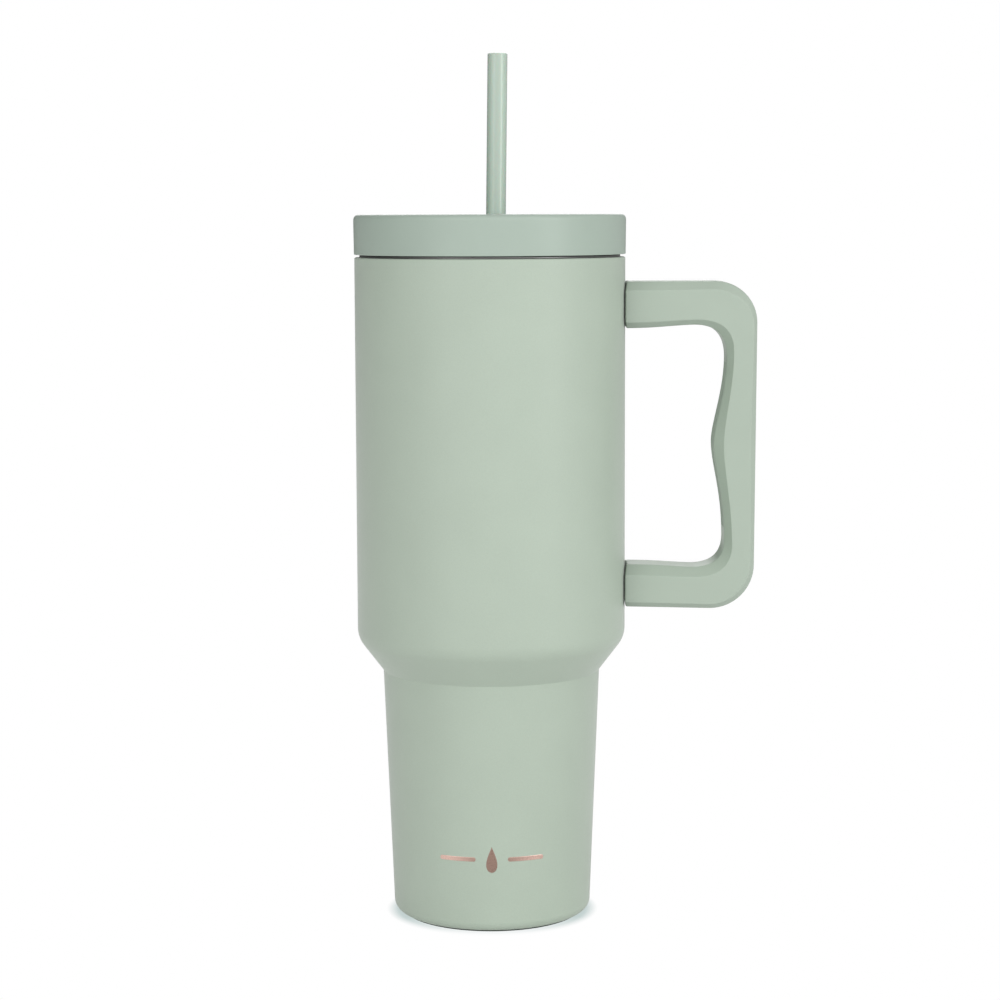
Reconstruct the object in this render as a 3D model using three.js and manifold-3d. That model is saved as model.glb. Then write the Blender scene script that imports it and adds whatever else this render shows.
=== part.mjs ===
// Insulated tumbler with a screw lid, a rotating lid cover, a straw and a side handle.
// Millimetres, +Z up. The origin is the centre of the circle it stands on, the handle
// points to +X and the front is -Y.
import * as THREE from 'three';
import { mergeVertices } from 'three/addons/utils/BufferGeometryUtils.js';
import Module from 'manifold-3d';

const wasm = await Module();
wasm.setup();

// ---- driving dimensions ------------------------------------------------------------

const ROUND = 48; // sides of every large turned piece
const SMALL_ROUND = 24; // sides of small turned pieces and holes
const GAP = 0.3; // free space between pieces that touch on the real object

const BODY_RADIUS = 49.05; // upper, straight part of the body
const BODY_TOP = 241.4;
const BODY_WALL = 0.5;
const SHOULDER_LOW = 90.7; // crisp corner where the shoulder cone starts
const SHOULDER_LOW_RADIUS = 39.7;
const SHOULDER_SLOPE = 0.762; // radius gained per millimetre of height on the cone
const SHOULDER_FILLET = 9.5;
const FOOT_RADIUS = 36.2; // outside of the foot, just above its rounded corner
const FOOT_CORNER = 3.7;
const FOOT_LIFT = 0.7; // the steel foot ring hangs this far above the ground
const FLANGE_RADIUS = 30.5; // opening inside the turned-in foot ring
const PAD_RADIUS = 32.7; // the soft pad spreads under the foot ring to here

const LINER_RADIUS = 44.3; // drinking space, upper part
const LINER_WALL = 0.45;
const LINER_FLOOR = 9;
const LINER_FOOT_RADIUS = 32.6;
const LINER_WAIST_RADIUS = 35.2; // drinking space just under the shoulder
const LINER_WAIST = 89;
const LIP_RADIUS = 47.2;
const LIP_TOP = 242.3;
const LIP_THICKNESS = 0.6;

const LID_RADIUS = 49.3;
const LID_LOW = 242.6;
const LID_TOP = 256.7;
const LID_RIM_RADIUS = 46.4; // inside of the raised rim round the lid cover
const LID_BAND_INNER = 47.1;
const DECK_TOP = 251.8;
const DECK_LOW = 249.8;
const PLUG_RADIUS = 42.9;
const PLUG_WALL = 2;
const PLUG_LOW = 224;

const THREAD_LEAD = 6; // height gained in one turn, right-handed
const THREAD_TURNS = 1.125;
const THREAD_REACH = 1; // height of each ridge above its own wall
const THREAD_ROOT = 2;
const THREAD_TIP = 1.2;
const THREAD_START = 230; // middle of the liner's ridge where it starts

const COVER_RADIUS = 45.8;
const COVER_LOW = 253.2;
const COVER_TOP = 255.2;
const COVER_TRAVEL = THREE.MathUtils.degToRad(55);
const PIVOT_RADIUS = 2.4;
const SIP_RADIUS = 34; // distance of the sip slot from the lid's axis
const SIP_HALF_ANGLE = THREE.MathUtils.degToRad(11);
const SIP_WIDTH = 9;

const STRAW_RADIUS = 3.65;
const STRAW_WALL = 0.9;
const STRAW_LOW = 9.5;
const STRAW_TOP = 315.5;
const STRAW_LEAN = THREE.MathUtils.degToRad(0.76); // the top leans towards the handle
const STRAW_X = 2.2; // where its axis passes through the lid deck
const STRAW_Y = 22;
const STRAW_HOLE_RADIUS = 5.6; // hole in the deck for the straw and its bush

const HANDLE_DEPTH = 20; // along Y
const HANDLE_EDGE = 2.5; // rounding of the long edges
const HANDLE_REACH = 96.4; // outermost face of the grip
const HANDLE_CORNER_TOP = 15;
const HANDLE_CORNER_LOW = 16;
const ARM_END_GAP = 0.5; // between the arm ends and the body
const UPPER_ARM_TOP = 232.55;
const UPPER_ARM_LOW = 215.7; // underside of the upper arm at the body
const LOWER_ARM_TOP = 129.7; // top of the lower arm at the body
const LOWER_ARM_LOW = 113.6; // underside of the lower arm at the grip
const LOWER_ARM_RISE = 0.7; // the lower arm's underside rises by this much towards the body
const GRIP_INNER_TOP = 85.6; // inner face of the grip at its upper end
const GRIP_INNER_LOW = 85; // and at its lower end
const GRIP_BULGE = 80.95; // inner face at the finger swell
const GRIP_BULGE_HEIGHT = 173.8;
const GRIP_TOP = 204.8;
const GRIP_LOW = 139;
const FACE_CURVE = { top: 192, aboveBulge: 180.4, belowBulge: 165.1, low: 155.9 }; // control heights
const CORE_START = 70; // the grip's hollow is cut from here, in front of its inner face
const CORE_OUTER = 92.8; // inside of the grip's outer wall
const CORE_TOP = 203;
const CORE_LOW = 143;
const CORE_WIDTH = 10.6;
const INSERT_THICKNESS = 4;

const BRACKET_FLOOR = 4.7; // arm material below the bracket pocket
const POCKET_HEIGHT = 8.5;
const POCKET_WIDTH = 14;
const POCKET_END = 65;
const SCREW_X = 58.5;
const SCREW_RADIUS = 1.5;
const SCREW_HEAD_RADIUS = 3;
const SCREW_SEAT = 2.6; // depth of the screw's recess in the arm's underside
const SCREW_LENGTH = 8;

// ---- finishes ----------------------------------------------------------------------

const finish = (color, roughness, metalness) => ({ color, roughness, metalness });
const POWDER_COAT = finish(0xb3c1b0, 0.55, 0);
const SAGE_PLASTIC = finish(0xa9b9a8, 0.5, 0);
const SAGE_RUBBER = finish(0xa3b3a1, 0.75, 0);
const STRAW_PLASTIC = finish(0xb4c8b4, 0.25, 0);
const STEEL = finish(0xb8b8b4, 0.35, 1);
const COPPER = finish(0xb87850, 0.35, 1);
const SILICONE = finish(0xd9dcd6, 0.7, 0);
const SEAL_RESIN = finish(0x8a8478, 0.6, 0);

// ---- tools for building ------------------------------------------------------------

// Solid of revolution about +Z. The [radius, height] points run anticlockwise round the
// section, and either start and end on the axis or close on themselves.
function turned(points, sides = ROUND) {
  const profile = points.map(([radius, height]) => new THREE.Vector2(radius, height));
  if (profile[0].x > 0) {
    profile.push(profile[0].clone());
  }
  return new THREE.LatheGeometry(profile, sides).rotateX(Math.PI / 2);
}

// Upright cylinder between two heights.
function rod(radius, low, high, x = 0, y = 0, sides = SMALL_ROUND) {
  const geometry = new THREE.CylinderGeometry(radius, radius, high - low, sides);
  return geometry.rotateX(Math.PI / 2).translate(x, y, (low + high) / 2);
}

// Box from its lowest and highest corners.
function box(low, high) {
  const size = high.map((value, axis) => value - low[axis]);
  const middle = high.map((value, axis) => (value + low[axis]) / 2);
  return new THREE.BoxGeometry(...size).translate(...middle);
}

// Flat plate of the given outline between two heights.
function plate(outline, low, high, curveSegments = 8) {
  const options = { depth: high - low, bevelEnabled: false, curveSegments };
  return new THREE.ExtrudeGeometry(outline, options).translate(0, 0, low);
}

// Points along a quarter circle, from one angle to another, for a turned section.
function arcPoints(centreRadius, centreHeight, radius, from, to, steps) {
  const points = [];
  for (let step = 0; step <= steps; step++) {
    const angle = THREE.MathUtils.degToRad(from + (to - from) * step / steps);
    points.push([centreRadius + radius * Math.cos(angle), centreHeight + radius * Math.sin(angle)]);
  }
  return points;
}

// Outline of a round-ended slot that curves about the origin.
function arcSlot(radius, width, from, to) {
  const half = width / 2;
  const slot = new THREE.Shape();
  slot.absarc(0, 0, radius + half, from, to, false);
  slot.absarc(radius * Math.cos(to), radius * Math.sin(to), half, to, to + Math.PI, false);
  slot.absarc(0, 0, radius - half, to, from, true);
  slot.absarc(radius * Math.cos(from), radius * Math.sin(from), half, from + Math.PI,
    from + 2 * Math.PI, false);
  return slot;
}

// Closed geometry to a solid that can be cut and joined.
function solid(geometry) {
  const bare = geometry.clone();
  bare.deleteAttribute('normal');
  bare.deleteAttribute('uv');
  const merged = mergeVertices(bare);
  const corners = merged.index.array;
  const triangles = [];
  for (let start = 0; start < corners.length; start += 3) {
    const triangle = corners.slice(start, start + 3);
    if (new Set(triangle).size === 3) {
      triangles.push(...triangle);
    }
  }
  return new wasm.Manifold(new wasm.Mesh({
    numProp: 3,
    vertProperties: new Float32Array(merged.attributes.position.array),
    triVerts: new Uint32Array(triangles),
  }));
}

// One base geometry with others joined to it and cut from it.
function carve(base, { joined = [], cuts = [] }) {
  let body = solid(base);
  for (const extra of joined) {
    body = body.add(solid(extra));
  }
  for (const cut of cuts) {
    body = body.subtract(solid(cut));
  }
  return geometryOf(body);
}

function geometryOf(body) {
  const { vertProperties, triVerts } = body.getMesh();
  const geometry = new THREE.BufferGeometry();
  geometry.setAttribute('position', new THREE.BufferAttribute(vertProperties, 3));
  geometry.setIndex(new THREE.BufferAttribute(triVerts, 1));
  geometry.computeVertexNormals();
  return geometry;
}

function piece(name, geometry, look) {
  const mesh = new THREE.Mesh(geometry, new THREE.MeshStandardMaterial(look));
  mesh.name = name;
  return mesh;
}

function assembly(...pieces) {
  const group = new THREE.Group();
  group.add(...pieces);
  return group;
}

// Screw-thread ridge that climbs round a wall and fades out at both ends. Side 1 stands
// outwards and runs down from the given height, side -1 stands inwards and runs up.
function threadRidge(wallRadius, side, height) {
  const sunk = 0.3;
  const fadeTurns = 0.06;
  const section = new THREE.Shape();
  section.moveTo(-sunk, -THREAD_ROOT / 2);
  section.lineTo(THREAD_REACH, -THREAD_TIP / 2);
  section.lineTo(THREAD_REACH, THREAD_TIP / 2);
  section.lineTo(-sunk, THREAD_ROOT / 2);
  const steps = THREAD_TURNS * ROUND;
  const options = { depth: THREAD_TURNS, steps, bevelEnabled: false };
  const ridge = new THREE.ExtrudeGeometry(section, options);
  const position = ridge.attributes.position;
  for (let index = 0; index < position.count; index++) {
    const turns = position.getZ(index);
    const across = position.getX(index);
    const fade = Math.min(1, turns / fadeTurns, (THREAD_TURNS - turns) / fadeTurns);
    const stand = across > 0 ? across * fade - sunk * (1 - fade) / 2 : across;
    const radius = wallRadius + side * stand;
    const angle = -side * 2 * Math.PI * turns;
    const rise = height - side * THREAD_LEAD * turns;
    position.setXYZ(index, radius * Math.cos(angle), radius * Math.sin(angle),
      rise + position.getY(index));
  }
  return ridge;
}

// ---- vacuum-walled body ------------------------------------------------------------

// Section line of a wall from the foot to the top of the shoulder, moved inwards.
function wallLine(inset, cornerSteps, filletSteps) {
  const slant = Math.atan(SHOULDER_SLOPE);
  const radius = BODY_RADIUS - inset;
  const fillet = SHOULDER_FILLET - inset;
  const lowRadius = SHOULDER_LOW_RADIUS - inset;
  const lowHeight = SHOULDER_LOW + inset * (1 - Math.sin(slant)) / Math.cos(slant);
  const sharpHeight = lowHeight + (radius - lowRadius) / SHOULDER_SLOPE;
  const filletHeight = sharpHeight + fillet * Math.tan(slant / 2);
  const slantDegrees = THREE.MathUtils.radToDeg(slant);
  const corner = arcPoints(FOOT_RADIUS - FOOT_CORNER, FOOT_LIFT + FOOT_CORNER,
    FOOT_CORNER - inset, -90, 0, cornerSteps);
  const shoulder = arcPoints(radius - fillet, filletHeight, fillet, -slantDegrees, 0, filletSteps);
  return [...corner, [lowRadius, lowHeight], ...shoulder];
}

function outerWall() {
  const edge = 1; // rounding where the wall turns in at the top
  const turnedIn = 46.5; // inner edge of the turned-in top
  const outside = wallLine(0, 4, 3);
  const inside = wallLine(BODY_WALL, 4, 3).reverse();
  return turned([
    [FLANGE_RADIUS, FOOT_LIFT],
    ...outside,
    ...arcPoints(BODY_RADIUS - edge, BODY_TOP - edge, edge, 0, 90, 2),
    [turnedIn, BODY_TOP],
    [turnedIn, BODY_TOP - BODY_WALL],
    [BODY_RADIUS - BODY_WALL, BODY_TOP - BODY_WALL],
    ...inside,
    [FLANGE_RADIUS, FOOT_LIFT + BODY_WALL],
  ]);
}

function innerLiner() {
  const corner = 4;
  const rise = (LINER_RADIUS - LINER_WAIST_RADIUS) / SHOULDER_SLOPE;
  const lowCorner = LINER_FOOT_RADIUS - corner;
  const shell = turned([
    [0, LINER_FLOOR - LINER_WALL],
    ...arcPoints(lowCorner, LINER_FLOOR + corner, corner + LINER_WALL, -90, 0, 3),
    [LINER_WAIST_RADIUS + LINER_WALL, LINER_WAIST],
    [LINER_RADIUS + LINER_WALL, LINER_WAIST + rise],
    [LINER_RADIUS + LINER_WALL, LIP_TOP - LIP_THICKNESS],
    [LIP_RADIUS, LIP_TOP - LIP_THICKNESS],
    [LIP_RADIUS, LIP_TOP],
    [LINER_RADIUS + LINER_WALL, LIP_TOP],
    [LINER_RADIUS, LIP_TOP - LINER_WALL],
    [LINER_RADIUS, LINER_WAIST + rise + LINER_WALL / 2],
    [LINER_WAIST_RADIUS, LINER_WAIST + LINER_WALL / 2],
    ...arcPoints(lowCorner, LINER_FLOOR + corner, corner, 0, -90, 3),
    [0, LINER_FLOOR],
  ]);
  return carve(shell, { joined: [threadRidge(LINER_RADIUS, -1, THREAD_START)] });
}

const PLATE_LOW = FOOT_LIFT + BODY_WALL + GAP;
const PLATE_TOP = PLATE_LOW + BODY_WALL;
const DIMPLE_HEIGHT = 1.3; // the plate's middle is raised to hold the vacuum seal

const EVACUATION_RADIUS = 2.3; // hole in the plate's middle

function basePlate() {
  const rim = 32.8;
  const dimple = 5;
  return turned([
    [EVACUATION_RADIUS, PLATE_LOW + DIMPLE_HEIGHT],
    [dimple, PLATE_LOW + DIMPLE_HEIGHT],
    [dimple + 1, PLATE_LOW],
    [rim, PLATE_LOW],
    [rim, PLATE_TOP],
    [dimple + 1.8, PLATE_TOP],
    [dimple + 0.8, PLATE_TOP + DIMPLE_HEIGHT],
    [EVACUATION_RADIUS, PLATE_TOP + DIMPLE_HEIGHT],
  ]);
}

// Bead of sealing resin: a head under the plate's dimple and a stem in its hole.
function vacuumPlug() {
  const head = 4;
  const stem = EVACUATION_RADIUS - GAP;
  const low = PLATE_LOW + 0.1;
  const headTop = PLATE_LOW + DIMPLE_HEIGHT - GAP;
  const high = headTop + 1;
  const section = [[0, low], [head, low], [head, headTop], [stem, headTop], [stem, high], [0, high]];
  return turned(section, SMALL_ROUND);
}

function getterCapsule() {
  const radius = 5;
  const thickness = 3;
  const fromAxis = 18;
  const low = PLATE_TOP + GAP;
  return rod(radius, low, low + thickness, fromAxis);
}

function basePad() {
  const plugRadius = FLANGE_RADIUS - GAP; // the part that sits inside the foot ring
  const shelf = FOOT_LIFT - GAP;
  const top = PLATE_LOW - GAP;
  return turned([
    [0, 0],
    [PAD_RADIUS, 0],
    [PAD_RADIUS, shelf],
    [plugRadius, shelf],
    [plugRadius, top],
    [0, top],
  ]);
}

function copperFoil() {
  const inner = LINER_RADIUS + LINER_WALL + 0.5;
  const outer = inner + 0.15;
  const low = 108;
  const high = 228;
  return turned([[inner, low], [outer, low], [outer, high], [inner, high]]);
}

const vessel = assembly(
  piece('outer_wall', outerWall(), POWDER_COAT),
  piece('inner_liner', innerLiner(), STEEL),
  piece('base_plate', basePlate(), STEEL),
  piece('vacuum_plug', vacuumPlug(), SEAL_RESIN),
  piece('getter_capsule', getterCapsule(), STEEL),
  piece('base_pad', basePad(), SILICONE),
  piece('copper_foil', copperFoil(), COPPER),
);

// ---- handle ------------------------------------------------------------------------

const LOWER_ARM_SEAT = LOWER_ARM_LOW + 0.6 * LOWER_ARM_RISE; // its underside at the screw

// Inner face of the grip, from its top end down over the finger swell.
function gripFace(path) {
  path.bezierCurveTo(GRIP_INNER_TOP, FACE_CURVE.top, GRIP_BULGE, FACE_CURVE.aboveBulge,
    GRIP_BULGE, GRIP_BULGE_HEIGHT);
  path.bezierCurveTo(GRIP_BULGE, FACE_CURVE.belowBulge, GRIP_INNER_LOW, FACE_CURVE.low,
    GRIP_INNER_LOW, GRIP_LOW);
}

// Side view of the whole handle; its X and Y are the object's X and Z.
function handleOutline() {
  const root = 44; // the arms start inside the body and are cut back to follow it
  const straightEnd = 58; // the arms' inner sides start to slope here
  const upperSlopeEnd = 73; // and turn into the grip here
  const lowerSlopeEnd = 75;
  const draft = 0.6; // the outer face leans in by this much towards the bottom
  const topX = HANDLE_REACH - HANDLE_CORNER_TOP; // centres of the two outer corners
  const lowX = HANDLE_REACH - draft - HANDLE_CORNER_LOW;
  const upperInside = UPPER_ARM_LOW + 1.2; // the arms' inner sides at the grip
  const lowerInside = LOWER_ARM_TOP - 1;
  const outline = new THREE.Shape();
  outline.moveTo(root, LOWER_ARM_LOW + LOWER_ARM_RISE);
  outline.lineTo(lowX, LOWER_ARM_LOW);
  outline.absarc(lowX, LOWER_ARM_LOW + HANDLE_CORNER_LOW, HANDLE_CORNER_LOW, -Math.PI / 2, 0);
  outline.absarc(topX, UPPER_ARM_TOP - HANDLE_CORNER_TOP, HANDLE_CORNER_TOP, 0, Math.PI / 2);
  outline.lineTo(root, UPPER_ARM_TOP);
  outline.lineTo(root, UPPER_ARM_LOW);
  outline.lineTo(straightEnd, UPPER_ARM_LOW);
  outline.lineTo(upperSlopeEnd, upperInside);
  outline.quadraticCurveTo(GRIP_INNER_TOP, upperInside, GRIP_INNER_TOP, GRIP_TOP);
  gripFace(outline);
  outline.quadraticCurveTo(GRIP_INNER_LOW, lowerInside, lowerSlopeEnd, lowerInside);
  outline.lineTo(straightEnd, LOWER_ARM_TOP);
  outline.lineTo(root, LOWER_ARM_TOP);
  return outline;
}

// Extrudes a side-view outline so that it is centred on the XZ plane.
function sideways(outline, depth, edge, edgeSteps) {
  const geometry = new THREE.ExtrudeGeometry(outline, {
    depth: depth - 2 * edge,
    bevelEnabled: edge > 0,
    bevelThickness: edge,
    bevelSize: edge,
    bevelOffset: -edge,
    bevelSegments: edgeSteps,
    curveSegments: 7,
  });
  return geometry.translate(0, 0, edge - depth / 2).rotateX(Math.PI / 2);
}

// Room for the bracket and the screw in an arm whose underside is at the given height.
function armCuts(armLow) {
  const floor = armLow + BRACKET_FLOOR;
  const side = POCKET_WIDTH / 2;
  return [
    box([40, -side, floor], [POCKET_END, side, floor + POCKET_HEIGHT]),
    rod(SCREW_RADIUS + 0.45, armLow, floor + 1, SCREW_X),
    rod(SCREW_HEAD_RADIUS + 0.5, armLow - 2, armLow + SCREW_SEAT, SCREW_X),
  ];
}

function handleBody() {
  const side = CORE_WIDTH / 2;
  const body = rod(BODY_RADIUS + ARM_END_GAP, LOWER_ARM_LOW - 10, UPPER_ARM_TOP + 10, 0, 0, ROUND);
  const core = box([CORE_START, -side, CORE_LOW], [CORE_OUTER, side, CORE_TOP]);
  return carve(sideways(handleOutline(), HANDLE_DEPTH, HANDLE_EDGE, 2), {
    cuts: [body, core, ...armCuts(UPPER_ARM_LOW), ...armCuts(LOWER_ARM_SEAT)],
  });
}

function gripInsert() {
  const topBack = GRIP_INNER_TOP + INSERT_THICKNESS;
  const bulgeBack = GRIP_BULGE + INSERT_THICKNESS;
  const lowBack = GRIP_INNER_LOW + INSERT_THICKNESS;
  const strip = new THREE.Shape();
  strip.moveTo(GRIP_INNER_TOP, GRIP_TOP);
  gripFace(strip);
  strip.lineTo(lowBack, GRIP_LOW);
  strip.bezierCurveTo(lowBack, FACE_CURVE.low, bulgeBack, FACE_CURVE.belowBulge,
    bulgeBack, GRIP_BULGE_HEIGHT);
  strip.bezierCurveTo(bulgeBack, FACE_CURVE.aboveBulge, topBack, FACE_CURVE.top, topBack, GRIP_TOP);
  const width = CORE_WIDTH - 2 * GAP;
  const reach = box([CORE_START, -width, CORE_LOW + GAP], [CORE_OUTER, width, CORE_TOP - GAP]);
  return geometryOf(solid(sideways(strip, width, 0.5, 1)).intersect(solid(reach)));
}

// Welded bracket: a saddle that follows the body and a tongue that takes the screw.
function bracket(armLow) {
  const low = armLow + BRACKET_FLOOR + 0.5;
  const saddleHigh = low + POCKET_HEIGHT - 1;
  const saddleSide = POCKET_WIDTH / 2 - 0.5;
  const saddleThickness = 2.5;
  const tongueSide = 5;
  const tongueHigh = low + 5;
  const start = BODY_RADIUS - 2; // inside the wall, and cut back to follow it
  const saddleEnd = BODY_RADIUS + saddleThickness;
  const saddle = box([start, -saddleSide, low], [saddleEnd, saddleSide, saddleHigh]);
  const tongue = box([saddleEnd - 0.6, -tongueSide, low], [POCKET_END - 1, tongueSide, tongueHigh]);
  return carve(saddle, {
    joined: [tongue],
    cuts: [
      rod(BODY_RADIUS + GAP, low - 5, saddleHigh + 5, 0, 0, ROUND),
      rod(SCREW_RADIUS + GAP, low - 1, tongueHigh + 1, SCREW_X),
    ],
  });
}

function handleScrew(armLow) {
  const headTop = armLow + SCREW_SEAT - GAP;
  const headLow = headTop - 1.2;
  const section = [[0, headLow], [SCREW_HEAD_RADIUS, headLow], [SCREW_HEAD_RADIUS, headTop],
    [SCREW_RADIUS, headTop], [SCREW_RADIUS, headTop + SCREW_LENGTH], [0, headTop + SCREW_LENGTH]];
  return turned(section, SMALL_ROUND).translate(SCREW_X, 0, 0);
}

// Plug in the mouth of the screw's recess, sunk a little below the arm's underside.
function screwCap(armLow) {
  const low = armLow + 0.25;
  const thickness = 0.55;
  return rod(SCREW_HEAD_RADIUS + 0.2, low, low + thickness, SCREW_X);
}

const handle = assembly(
  piece('handle_body', handleBody(), SAGE_PLASTIC),
  piece('handle_grip_insert', gripInsert(), SAGE_RUBBER),
  piece('upper_bracket', bracket(UPPER_ARM_LOW), STEEL),
  piece('lower_bracket', bracket(LOWER_ARM_SEAT), STEEL),
  piece('upper_bracket_screw', handleScrew(UPPER_ARM_LOW), STEEL),
  piece('lower_bracket_screw', handleScrew(LOWER_ARM_SEAT), STEEL),
  piece('upper_screw_cap', screwCap(UPPER_ARM_LOW), SAGE_RUBBER),
  piece('lower_screw_cap', screwCap(LOWER_ARM_SEAT), SAGE_RUBBER),
);

// ---- lid ---------------------------------------------------------------------------

const FRONT = -Math.PI / 2; // direction of the sip slot from the lid's axis

function lidShell() {
  const edge = 2; // rounding of the lid's upper outer edge
  const draft = 0.13; // the band is slightly narrower at the bottom
  const bossRadius = 6;
  const bossLow = 244;
  const hole = PIVOT_RADIUS + GAP;
  const shell = turned([
    [hole, bossLow],
    [bossRadius, bossLow],
    [bossRadius, DECK_LOW],
    [LID_BAND_INNER, DECK_LOW],
    [LID_BAND_INNER, LID_LOW],
    [LID_RADIUS - draft - 0.8, LID_LOW],
    [LID_RADIUS - draft, LID_LOW + 0.8],
    ...arcPoints(LID_RADIUS - edge, LID_TOP - edge, edge, 0, 90, 3),
    [LID_RIM_RADIUS + 0.6, LID_TOP],
    [LID_RIM_RADIUS, LID_TOP - 0.6],
    [LID_RIM_RADIUS, DECK_TOP],
    [hole, DECK_TOP],
  ]);
  const sip = arcSlot(SIP_RADIUS, SIP_WIDTH, FRONT - SIP_HALF_ANGLE, FRONT + SIP_HALF_ANGLE);
  return carve(shell, {
    cuts: [
      rod(STRAW_HOLE_RADIUS, DECK_LOW - 1, DECK_TOP + 1, STRAW_X, STRAW_Y),
      plate(sip, DECK_LOW - 1, DECK_TOP + 1),
    ],
  });
}

function lidPlug() {
  const inner = PLUG_RADIUS - PLUG_WALL;
  const flangeLow = 244.6;
  const flangeTop = 246.4;
  const flangeRadius = LID_BAND_INNER - 0.5;
  const shell = turned([
    [0, PLUG_LOW],
    [PLUG_RADIUS - 1, PLUG_LOW],
    [PLUG_RADIUS, PLUG_LOW + 1],
    [PLUG_RADIUS, flangeLow],
    [flangeRadius, flangeLow],
    [flangeRadius, flangeTop],
    [PLUG_RADIUS, flangeTop],
    [PLUG_RADIUS, DECK_LOW - GAP],
    [inner, DECK_LOW - GAP],
    [inner, PLUG_LOW + PLUG_WALL],
    [0, PLUG_LOW + PLUG_WALL],
  ]);
  const ridgeTop = THREAD_START + THREAD_LEAD / 2;
  const floorCut = [PLUG_LOW - 1, PLUG_LOW + PLUG_WALL + 1];
  const strawHole = rod(5.2, ...floorCut, STRAW_X - 0.3, STRAW_Y); // the straw leans a little here
  const drinkHole = rod(4, ...floorCut, 0, -SIP_RADIUS);
  return carve(shell, {
    joined: [threadRidge(PLUG_RADIUS, 1, ridgeTop)],
    cuts: [strawHole, drinkHole],
  });
}

// Flat silicone ring that the lid presses on to the liner's lip.
function lidSeal() {
  const low = LID_LOW;
  const inner = PLUG_RADIUS + GAP;
  const outer = LID_BAND_INNER - 0.4;
  const high = low + 1.7;
  return turned([[inner, low], [outer - 0.5, low], [outer, low + 0.5], [outer, high], [inner, high]]);
}

// Silicone bush in the deck that grips the straw, with a flange under the deck.
function strawSeal() {
  const inner = STRAW_RADIUS + GAP;
  const flangeTop = DECK_LOW - GAP;
  const neck = STRAW_HOLE_RADIUS - GAP;
  const flange = 7;
  const section = [[inner, flangeTop - 2], [flange, flangeTop - 2], [flange, flangeTop],
    [neck, flangeTop], [neck, DECK_TOP - 0.1], [inner, DECK_TOP - 0.1]];
  return turned(section, SMALL_ROUND).translate(STRAW_X, STRAW_Y, 0);
}

// Pin that holds the rotating cover to the middle of the deck.
function coverPivot() {
  const low = 245; // its end in the boss under the deck
  const headLow = COVER_TOP + GAP;
  const headTop = headLow + 1;
  const head = 5.5;
  return turned([[0, low], [PIVOT_RADIUS, low], [PIVOT_RADIUS, headLow], [head, headLow],
    [head, headTop - 0.4], [head - 0.6, headTop], [0, headTop]], SMALL_ROUND);
}

const lid = assembly(
  piece('lid_shell', lidShell(), SAGE_PLASTIC),
  piece('lid_plug', lidPlug(), SAGE_PLASTIC),
  piece('lid_seal', lidSeal(), SILICONE),
  piece('straw_seal', strawSeal(), SILICONE),
  piece('cover_pivot', coverPivot(), SAGE_PLASTIC),
);

// ---- rotating cover ----------------------------------------------------------------

function rotatingCover() {
  const straw = Math.atan2(STRAW_Y, STRAW_X);
  const strawDistance = Math.hypot(STRAW_X, STRAW_Y);
  const strawSlotWidth = 9;
  const window = FRONT - COVER_TRAVEL; // comes over the sip slot when the cover is turned
  const cuts = [
    arcSlot(strawDistance, strawSlotWidth, straw - COVER_TRAVEL, straw),
    arcSlot(SIP_RADIUS, SIP_WIDTH, window - SIP_HALF_ANGLE, window + SIP_HALF_ANGLE),
  ].map((outline) => plate(outline, COVER_LOW - 1, COVER_TOP + 1));
  cuts.push(rod(PIVOT_RADIUS + 0.5, COVER_LOW - 1, COVER_TOP + 1));
  const disc = turned([[0, COVER_LOW], [COVER_RADIUS, COVER_LOW], [COVER_RADIUS, COVER_TOP - 0.5],
    [COVER_RADIUS - 0.5, COVER_TOP], [0, COVER_TOP]]);
  const fingerBar = box([-3, -41, COVER_TOP - 0.5], [3, -15, COVER_TOP + 1.2]);
  return carve(disc, { joined: [fingerBar], cuts });
}

// Soft pad under the cover that closes the sip slot.
function coverSeal() {
  const reach = SIP_HALF_ANGLE + THREE.MathUtils.degToRad(4);
  const pad = arcSlot(SIP_RADIUS, SIP_WIDTH + 4, FRONT - reach, FRONT + reach);
  return plate(pad, DECK_TOP + GAP, COVER_LOW - GAP);
}

const cover = assembly(
  piece('rotating_cover', rotatingCover(), SAGE_PLASTIC),
  piece('cover_seal', coverSeal(), SILICONE),
);

// ---- straw -------------------------------------------------------------------------

function strawTube() {
  const low = (STRAW_LOW - DECK_TOP) / Math.cos(STRAW_LEAN);
  const high = (STRAW_TOP - DECK_TOP) / Math.cos(STRAW_LEAN);
  const inner = STRAW_RADIUS - STRAW_WALL;
  return turned([[inner, low], [STRAW_RADIUS, low], [STRAW_RADIUS, high], [inner, high]], SMALL_ROUND);
}

// The straw is built about its own axis, which leans where it passes the deck.
const straw = assembly(piece('straw', strawTube(), STRAW_PLASTIC));
straw.position.set(STRAW_X, STRAW_Y, DECK_TOP);
straw.rotation.y = STRAW_LEAN;

const tumbler = new THREE.Group();
tumbler.add(vessel, handle, lid, cover, straw);

export default tumbler;
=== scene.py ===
"""Looks of an insulated tumbler with a screw lid, a straw and a side handle.

Shapes are worked out in millimetres and made in metres. +Z is up, the handle points to +X
and the front is -Y. Every piece but the mark on the foot stands for one CAD node, and
rides on that node's body.
"""
import math

import bmesh
import bpy
from mathutils import Matrix, Vector
from mathutils.geometry import tessellate_polygon


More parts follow.
